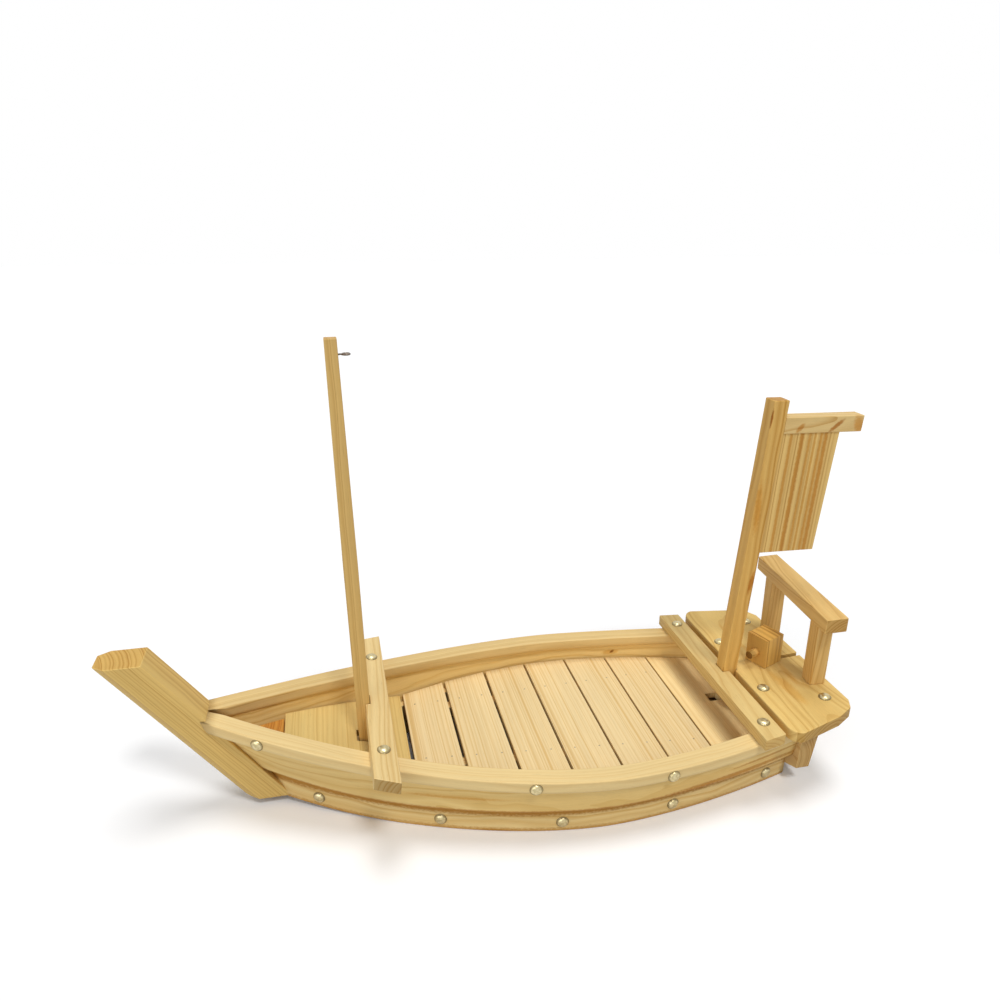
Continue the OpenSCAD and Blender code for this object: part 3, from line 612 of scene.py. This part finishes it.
# Foredeck, slats and aft deck board
# Thin pine boards laid across the boat with open gaps. The slats are pinned to the bearers.
# They are sawn on the quarter with the grain along them, so their rings show as fine straight lines.
SLAT_COUNT = 6
slat_pine = pine("slat_pine", (0.84, 0.66, 0.36), (0.68, 0.45, 0.17), ring=2.5, wander=2.2, flecks=0.5)
for i in range(1, SLAT_COUNT + 1):
    slat_place = (310 * i, 90 + 41 * i, 7)
    slat = planed_board(f"slat_{i}", f"deck_slat_{i}", CROSSWISE, UPRIGHT, slat_place, arris=0.4)
    dress(slat, slat_pine)
# The aft board is painted paler than the slats, as painted light against the shade of the aft thwart
aft_board_lit_pine = pine("aft_board_lit_pine", (0.95, 0.74, 0.38), (0.82, 0.56, 0.22), ring=2.8, wander=3,
                      flecks=0.5)
aft_board = planed_board("aft_board", "aft_deck_board", CROSSWISE, UPRIGHT, (2600, 75, 12), arris=0.4)
dress(aft_board, aft_board_lit_pine)
foredeck_pine = pine("foredeck_pine", (0.74, 0.55, 0.21), (0.6, 0.385, 0.115), ring=3.4, wander=3)
foredeck = planed_board("foredeck_board", "foredeck_panel", CROSSWISE, UPRIGHT, (3100, 60, 22), arris=0.4)
dress(foredeck, foredeck_pine)

# Thwarts
# Two square pine bars laid across the gunwales and nailed down, each notched for the post that stands in it.
# Their ends are sawn to the line of the hull and show slanting end grain.
thwart_pine = pine("thwart_pine", (0.8, 0.61, 0.29), (0.62, 0.38, 0.12), ring=2.8, wander=7, end_shade=0.38)
fore_bar = planed_board("fore_thwart_bar", "fore_thwart", CROSSWISE, UPRIGHT, (0, 22, 16), arris=0.6,
                        tilt=0.04)
dress(fore_bar, thwart_pine)
aft_thwart_pine = pine("aft_thwart_pine", (0.76, 0.565, 0.235), (0.61, 0.385, 0.125), ring=3.2, wander=6,
                       end_shade=0.05)
aft_bar = planed_board("aft_thwart_bar", "aft_thwart", CROSSWISE, UPRIGHT, (700, -14, 24), arris=0.6,
                       tilt=-0.05)
dress(aft_bar, aft_thwart_pine)

# Stern deck and rail
# A broad pine board nailed over the stern, with rounded fore corners and clipped aft corners.
# A saw slot runs in behind the rudder. Two posts on the board carry a flat bar across the stern.
RAIL_ALONG = (0.0837, 0.9965, 0)
stern_pine = pine("stern_deck_pine", (0.79, 0.56, 0.2), (0.58, 0.34, 0.085), ring=3.6, wander=10,
                  end_shade=0.25)
streak(stern_pine, (-38, 10, 28), (1, 0.06, 0), 30, 5.5, (0.92, 0.79, 0.58))
streak(stern_pine, (-18, 0, 29), (1, -0.05, 0), 24, 3.2, (0.93, 0.81, 0.62))
streak(stern_pine, (40, 14, 34), (1, 0.04, 0), 48, 3.0, (0.93, 0.82, 0.64))
stern_board = planed_board("stern_deck_board", "stern_deck", CROSSWISE, UPRIGHT, (0, 6, 27), arris=1.0,
                           tilt=0.09)
dress(stern_board, stern_pine)
rail_pine = pine("rail_pine", (0.76, 0.51, 0.19), (0.55, 0.3, 0.075), ring=2.6, wander=5, end_shade=0.25)
rail = planed_board("rail_cap", "rail_bar", RAIL_ALONG, UPRIGHT, (1300, 17, 21), arris=0.7, tilt=0.05)
dress(rail, rail_pine)
for name, log_place in [("port", (1900, 11, 19)), ("starboard", (2400, -13, 23))]:
    post = planed_board("rail_leg_" + name, "rail_post_" + name, UPRIGHT, CROSSWISE, log_place, arris=0.6)
    dress(post, rail_pine)

# Mast
# A long square pine stick, a little thinner towards its top, that stands through the foredeck and lifts out.
# The fore thwart's notch holds it. A small steel screw eye, turned level, is screwed in near its top.
mast_pine = pine("mast_pine", (0.75, 0.51, 0.185), (0.55, 0.32, 0.085), ring=2.3, wander=4)
mast = planed_board("mast_stick", "mast", UPRIGHT, CROSSWISE, (0, 38, 10), arris=0.5)
dress(mast, mast_pine, body="mast")

EYE_X = -88.6
EYE_HEIGHT = 304
EYE_RING = 2.0
EYE_RING_AT = 8.0
EYE_RING_START = 180
EYE_RING_SWEEP = 345
EYE_RING_STEPS = 72
EYE_WIRE = 0.62
EYE_SIDES = 14
SHANK_AT = 3.2
SHANK_LENGTH = 2.9
SHANK_STEPS = 22
THREAD_HEIGHT = 0.12
THREAD_CUT = 0.14
THREAD_TURN = 1.15
SHINE_LOST = 0.16


def make_metal_tarnish():
    """Thin uneven tarnish on metal: its colour and its roughness, from the place on the piece."""
    tree, given, result = node_group(
        "metal_tarnish",
        [("Place", "Vector"), ("Bright", "Color"), ("Dull", "Color"), ("Least Roughness", "Float"),
         ("Most Roughness", "Float")],
        [("Color", "Color"), ("Roughness", "Float")])
    tarnish = add_node(tree, "ShaderNodeTexNoise", "tarnish", Scale=520.0, Detail=3.0)
    tree.links.new(given["Place"], tarnish.inputs["Vector"])
    patches = range_node(tree, "tarnished patches", tarnish.outputs["Fac"], 0.36, 0.64)
    tone = mix_colour(tree, "tarnished metal", patches, given["Bright"], given["Dull"])
    tree.links.new(tone, result["Color"])
    shine = range_node(tree, "uneven shine", tarnish.outputs["Fac"], 0.0, 1.0, given["Least Roughness"],
                       given["Most Roughness"])
    tree.links.new(shine, result["Roughness"])
    return tree


metal_tarnish = make_metal_tarnish()


def worn_metal(name, bright, dull, shine):
    """Plated wire or nail metal with a thin uneven tarnish."""
    material, tree, surface = new_material(name)
    surface.inputs["Metallic"].default_value = 1.0
    place = tree.nodes.new("ShaderNodeTexCoord")
    tarnish = add_node(tree, "ShaderNodeGroup", "tarnish", node_tree=metal_tarnish, Bright=(*bright, 1),
                       Dull=(*dull, 1), **{"Least Roughness": shine, "Most Roughness": shine + SHINE_LOST})
    tree.links.new(place.outputs["Object"], tarnish.inputs["Place"])
    tree.links.new(tarnish.outputs["Color"], surface.inputs["Base Color"])
    tree.links.new(tarnish.outputs["Roughness"], surface.inputs["Roughness"])
    return material


def skin(first, rows, sides):
    """Faces between the rows of points round a turned piece."""
    faces = []
    for row in range(first, first + (rows - 1) * sides, sides):
        for k in range(sides):
            n = (k + 1) % sides
            faces.append((row + k, row + n, row + sides + n, row + sides + k))
    return faces


eye_metal = worn_metal("screw_eye_steel", (0.3, 0.25, 0.2), (0.13, 0.1, 0.08), 0.3)
eye_place = Vector((EYE_X + CENTRE_X, 0, EYE_HEIGHT))
shank = [(Vector((SHANK_AT + SHANK_LENGTH * t / SHANK_STEPS, 0, 0)), Vector(LENGTHWISE), t)
         for t in range(SHANK_STEPS + 1)]
ring = []
for step in range(EYE_RING_STEPS + 1):
    angle = math.radians(EYE_RING_START + EYE_RING_SWEEP * step / EYE_RING_STEPS)
    place = Vector((EYE_RING_AT + EYE_RING * math.cos(angle), EYE_RING * math.sin(angle), 0))
    ring.append((place, Vector((-math.sin(angle), math.cos(angle), 0)), None))
eye_points = []
eye_faces = []
for run in (shank, ring):
    first = len(eye_points)
    for place, heading, thread in run:
        outward = heading.cross(Vector(UPRIGHT))
        for k in range(EYE_SIDES):
            angle = 2 * math.pi * k / EYE_SIDES
            radius = EYE_WIRE
            if thread is not None:
                radius = EYE_WIRE - THREAD_CUT + THREAD_HEIGHT * math.sin(thread * THREAD_TURN - angle)
            offset = (outward * math.cos(angle) + Vector((0, 0, math.sin(angle)))) * radius
            eye_points.append((eye_place + place + offset) * MM)
    last = first + (len(run) - 1) * EYE_SIDES
    eye_faces += skin(first, len(run), EYE_SIDES)
    eye_faces.append(tuple(range(first, first + EYE_SIDES))[::-1])
    eye_faces.append(tuple(range(last, last + EYE_SIDES)))
eye_mesh = bpy.data.meshes.new("mast_eye")
eye_mesh.from_pydata(eye_points, [], eye_faces)
smooth(eye_mesh, eye_metal)
eye = put("mast_eye", eye_mesh)
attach(eye, "mast")
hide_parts("mast_screw_eye")

# Flag
# A square pine post with a short yard and a thin panel behind it, glued together, that lifts out as one.
# The panel is sawn on the quarter and shows straight upright lines.
PANEL_PLACE = (1500, 84, 9)
PANEL_LINES = [(-13.5, 1.6, (0.8, 0.62, 0.4)), (-5.5, 2.2, (0.72, 0.51, 0.28)),
               (0.5, 1.3, (0.8, 0.62, 0.4)), (4.5, 1.2, (0.82, 0.65, 0.43)),
               (9, 1.4, (0.78, 0.59, 0.36)), (12.5, 1.9, (0.72, 0.51, 0.28))]
PANEL_LINE_LENGTH = 150
PANEL_LINE_DEPTH = -2
post_pine = pine("flag_post_pine", (0.8, 0.51, 0.155), (0.53, 0.26, 0.045), ring=4.2, wander=12)
streak(post_pine, (701, 15.9, 8.5), (1, 0.03, 0), 8, 1.3, (0.5, 0.3, 0.14))
streak(post_pine, (581, 21.8, 4.9), (1, 0.1, 0), 11, 2.2, (0.72, 0.48, 0.25))
streak(post_pine, (640, 17, 5.5), (1, -0.05, 0), 26, 3.4, (0.86, 0.68, 0.42))
post = planed_board("flag_stick", "flag_post", UPRIGHT, CROSSWISE, (600, 19, 11), arris=0.6, tilt=0.03)
dress(post, post_pine, body="flag")
yard_pine = pine("flag_yard_pine", (0.78, 0.57, 0.25), (0.58, 0.34, 0.1), ring=4.6, wander=14, end_shade=0.25)
streak(yard_pine, (1109.4, 9.9, 11.2), (0.778, -0.629, 0), 8.5, 1.9, (0.6, 0.36, 0.18))
streak(yard_pine, (1082.5, 10.4, 9.1), (0.7, -0.7, 0), 5, 2.2, (0.78, 0.55, 0.32))
streak(yard_pine, (1126, 10.5, 12.6), (0.3, 0.9, 0), 9, 4.5, (0.86, 0.64, 0.4))
yard = planed_board("flag_arm", "flag_yard", LENGTHWISE, CROSSWISE, (1100, 9, 16), arris=0.6, tilt=0.08)
dress(yard, yard_pine, body="flag")
panel_pine = pine("flag_panel_pine", (0.82, 0.57, 0.21), (0.46, 0.235, 0.05), ring=4.0, wander=2.5)
for aside, width, tint in PANEL_LINES:
    line_place = Vector(PANEL_PLACE) + Vector((0, aside, PANEL_LINE_DEPTH))
    streak(panel_pine, line_place, ALONG_LOG, PANEL_LINE_LENGTH, width, tint)
panel = planed_board("flag_board", "flag_panel", UPRIGHT, CROSSWISE, PANEL_PLACE, arris=0.4)
dress(panel, panel_pine, body="flag")

# Rudder head
# A square pine block that turns on a pin through the stern deck, with a round peg in its side for a tiller.
# Its top is end grain with strong stripes.
RUDDER_FACE = (0.94, 0.34, 0)
TILLER_ALONG = (-0.94, -0.34, 0)
rudder_pine = pine("rudder_pine", (0.8, 0.51, 0.14), (0.36, 0.16, 0.03), ring=4.6, wander=5, end_shade=0.02)
head = planed_board("rudder_block", "rudder_head", UPRIGHT, RUDDER_FACE, (0, 6, 92), arris=1.2, tilt=0.06)
dress(head, rudder_pine, body="rudder")
# The peg's end is much darker: partly its own end grain, partly painted shade on the end turned from the
# light
peg_pine = pine("tiller_peg_pine", (0.64, 0.37, 0.1), (0.46, 0.22, 0.04), ring=1.6, wander=2, end_shade=0.6)
peg = planed_board("tiller_stub", "tiller_peg", TILLER_ALONG, UPRIGHT, (300, 6, 9), arris=0.3)
dress(peg, peg_pine, body="rudder")
pin = planed_board("rudder_spindle", "rudder_pin", UPRIGHT, CROSSWISE, (500, 5, 8), arris=0.2)
dress(pin, frame_pine, body="rudder")

# Nails and brads
# Dome-headed plated nails hold the planks, thwarts and stern deck. Small headless steel pins hold the slats.
# The heads stand proud of the wood, the pins are flush.
NAIL_RADIUS = 4.3
NAIL_HEIGHT = 2.2
NAIL_RIM = 0.5
NAIL_SIDES = 32
DOME_STEPS = 10
DOME_POWER = 0.9
NAIL_WELD = 1e-7
GUNWALE_NAILS_X = (-158, 13, 105)
GUNWALE_NAIL_SHARE = 0.52
FIRST_FRAME_X = -124
FRAME_PITCH = 79.4
STRAKE_NAIL_HEIGHT = 8
THWART_NAILS = ((-79.6, 55), (179.5, 68.5))
THWART_TOP = 9.06
STERN_DECK_X = 221.05
STERN_DECK_LIFT = 0.3
STERN_DECK_TOP = 9
STERN_NAILS = ((-20.85, 33), (14.15, 55))


def nail_outline():
    """Half outline of a nail from its point to the top of its dome, as (radius, height)."""
    outline = [(0.0, -8.0), (0.5, -7.2), (0.9, -6.0), (0.9, 0.03), (NAIL_RADIUS - 0.3, 0.03)]
    outline += [(NAIL_RADIUS, 0.12), (NAIL_RADIUS, 0.38), (NAIL_RADIUS - 0.18, NAIL_RIM)]
    outline.append((NAIL_RADIUS - 0.42, 0.46))
    base = NAIL_RADIUS - 0.5
    for step in range(DOME_STEPS + 1):
        angle = math.radians(90 * step / DOME_STEPS)
        height = NAIL_RIM + (NAIL_HEIGHT - NAIL_RIM) * math.sin(angle)
        outline.append((base * math.cos(angle) ** DOME_POWER, height))
    return outline


def nails(name, node, places, material):
    """Dome nails at each (place, outward direction), in millimetres, in one mesh."""
    points = []
    faces = []
    shades = []
    outline = nail_outline()
    for place, outward in places:
        turn = Vector(outward).to_track_quat("Z", "Y").to_matrix()
        faces += skin(len(points), len(outline), NAIL_SIDES)
        for radius, height in outline:
            for k in range(NAIL_SIDES):
                angle = 2 * math.pi * k / NAIL_SIDES
                local = Vector((radius * math.cos(angle), radius * math.sin(angle), height))
                points.append((Vector(place) + Vector((CENTRE_X, 0, 0)) + turn @ local) * MM)
                shades.append(radius / NAIL_RADIUS)
    mesh = bpy.data.meshes.new(name)
    mesh.from_pydata(points, [], faces)
    from_middle = mesh.attributes.new("from_middle", "FLOAT", "POINT")
    from_middle.data.foreach_set("value", shades)
    clean = bmesh.new()
    clean.from_mesh(mesh)
    bmesh.ops.remove_doubles(clean, verts=clean.verts, dist=NAIL_WELD)
    clean.to_mesh(mesh)
    clean.free()
    smooth(mesh, material)
    obj = put(name, mesh)
    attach(obj, "hull")
    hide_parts(node)


def dome_metal():
    """Thin brass plate with an uneven tarnish, and a dark ring towards the rim that is a painted reflection.
    """
    material = worn_metal("nail_plate", (0.66, 0.57, 0.34), (0.47, 0.39, 0.2), 0.22)
    tree = material.node_tree
    base = tree.nodes["Principled BSDF"].inputs["Base Color"]
    radius = add_node(tree, "ShaderNodeAttribute", "distance from the crown", attribute_name="from_middle")
    # A dark ring painted towards the rim stands in for the reflection of darker surroundings
    rim = range_node(tree, "painted reflection at the rim", radius.outputs["Fac"], 0.76, 1.0)
    rim_reflection = mix_colour(tree, "painted dark rim", rim, base.links[0].from_socket, (0.22, 0.165, 0.075, 1))
    tree.links.new(rim_reflection, base)
    return material


def side_nail(line, x, height, side):
    """A nail driven in square to a plank's line."""
    slope = (line(x + 1) - line(x - 1)) / 2
    return (x, side * line(x), height), (-slope, side, 0)


def tilted(middle, tilt, offset):
    """A place on a board tilted along the boat, and the board's upward direction."""
    up = Vector((-math.sin(tilt), 0, math.cos(tilt)))
    ahead = Vector((math.cos(tilt), 0, math.sin(tilt)))
    return Vector(middle) + ahead * offset[0] + Vector((0, offset[1], 0)) + up * offset[2], up


def sheer_tilt(x):
    """Slope of the gunwales along the boat, as an angle."""
    return math.atan(2 * SHEER_CURVE * (x - SHEER_LOW_X))


nail_metal = dome_metal()
gunwale_places = [side_nail(gunwale_line, x, sheer(x) - GUNWALE_NAIL_SHARE * GUNWALE_HEIGHT, side)
                  for x in GUNWALE_NAILS_X for side in (-1, 1)]
nails("gunwale_studs", "gunwale_nails", gunwale_places, nail_metal)
frame_places_x = [FIRST_FRAME_X + FRAME_PITCH * i for i in range(FRAME_COUNT)]
strake_places = [side_nail(lower_line, x, STRAKE_NAIL_HEIGHT + LOWER_FOOT_RISE * fore_rise(x), side)
                 for x in frame_places_x for side in (-1, 1)]
nails("strake_studs", "strake_nails", strake_places, nail_metal)
thwart_places = [tilted((x, 0, sheer(x)), sheer_tilt(x), (0, side * y, THWART_TOP))
                 for x, y in THWART_NAILS for side in (-1, 1)]
nails("thwart_studs", "thwart_nails", thwart_places, nail_metal)
stern_middle = (STERN_DECK_X, 0, sheer(STERN_DECK_X) + STERN_DECK_LIFT)
stern_places = [tilted(stern_middle, sheer_tilt(STERN_DECK_X), (x, side * y, STERN_DECK_TOP))
                for x, y in STERN_NAILS for side in (-1, 1)]
nails("stern_studs", "stern_deck_nails", stern_places, nail_metal)
brad_metal = worn_metal("brad_steel", (0.5, 0.42, 0.3), (0.34, 0.27, 0.18), 0.4)
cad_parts["deck_brads"].data.materials.clear()
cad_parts["deck_brads"].data.materials.append(brad_metal)

# Floor and backdrop
# A sweep of plain white paper that the boat stands on, and an even white studio round it.
# Seen directly both are white. They throw back less light than that, so that the wood keeps its tone.
FLOOR_HALF = 6.0
floor_mesh = bpy.data.meshes.new("floor")
floor_corners = [(-FLOOR_HALF, -FLOOR_HALF, 0), (FLOOR_HALF, -FLOOR_HALF, 0), (FLOOR_HALF, FLOOR_HALF, 0),
                 (-FLOOR_HALF, FLOOR_HALF, 0)]
floor_mesh.from_pydata(floor_corners, [], [(0, 1, 2, 3)])
floor = put("floor", floor_mesh)


def seen_directly(tree):
    """1 where the camera sees a surface straight, mirrored or through something, and 0 for its light."""
    path = tree.nodes.new("ShaderNodeLightPath").outputs
    mirrored = math_node(tree, "MAXIMUM", "seen or mirrored", path["Is Camera Ray"], path["Is Glossy Ray"])
    return math_node(tree, "MAXIMUM", "seen at all", mirrored, path["Is Transmission Ray"])


paper, paper_tree, paper_surface = new_material("white_paper")
paper_surface.inputs["Roughness"].default_value = 1.0
paper_surface.inputs["Specular IOR Level"].default_value = 0.0
paper_tone = mix_colour(paper_tree, "paper tone", seen_directly(paper_tree), (0.52, 0.51, 0.49, 1),
                        (0.98, 0.985, 0.995, 1))
paper_tree.links.new(paper_tone, paper_surface.inputs["Base Color"])
floor_mesh.materials.append(paper)

world = bpy.data.worlds.new("studio")
bpy.context.scene.world = world
world.use_nodes = True
world_tree = world.node_tree
sky = world_tree.nodes["Background"]
sky.inputs["Color"].default_value = (1, 1, 1, 1)
sky_level = range_node(world_tree, "sky level", seen_directly(world_tree), 0.0, 1.0, 0.27, 1.0)
world_tree.links.new(sky_level, sky.inputs["Strength"])

# Studio light
# A soft main light high over the port quarter throws the boat's shadow to starboard, behind the bow.
# A broader one overhead lights the deck, and a low one off the port bow fills the sides.


def soft_light(name, direction, spread, power):
    """A lamp far off in a direction. spread is how wide it looks, in degrees."""
    lamp = bpy.data.lights.new(name, "SUN")
    lamp.angle = math.radians(spread)
    lamp.energy = power
    obj = put(name, lamp)
    obj.rotation_mode = "QUATERNION"
    obj.rotation_quaternion = Vector(direction).to_track_quat("Z", "Y")


soft_light("quarter", (0.17, -0.55, 1), spread=12, power=1.0)
soft_light("overhead", (0.06, 0.06, 1), spread=24, power=1.3)
soft_light("front_fill", (-0.7, -0.75, 0.35), spread=60, power=1.05)

# Camera
# It stands off the port bow and looks down over the deck, at the photograph's viewing angle.
# Its lens centre lies below and left of the picture's middle.
LENS_PIXELS = 740.07
LENS_CENTRE = (487.85, 571.45)
PICTURE = 1000
SENSOR = 36
YAW = math.radians(12.05)
PITCH = math.radians(26.06)
CAMERA_PLACE = (-0.0917 + CENTRE_X * MM, -0.4308, 0.3763)
ahead = Vector((math.sin(YAW) * math.cos(PITCH), math.cos(YAW) * math.cos(PITCH), -math.sin(PITCH)))
right = Vector((math.cos(YAW), -math.sin(YAW), 0))
up = right.cross(ahead)
camera_data = bpy.data.cameras.new("camera")
camera_data.sensor_width = SENSOR
camera_data.lens = LENS_PIXELS / PICTURE * SENSOR
camera_data.shift_x = (PICTURE / 2 - LENS_CENTRE[0]) / PICTURE
camera_data.shift_y = (LENS_CENTRE[1] - PICTURE / 2) / PICTURE
camera = put("camera", camera_data)
turn = Matrix((right, up, -ahead)).transposed()
camera.matrix_world = Matrix.Translation(CAMERA_PLACE) @ turn.to_4x4()
bpy.context.scene.camera = camera

bpy.context.scene.view_settings.view_transform = "Standard"
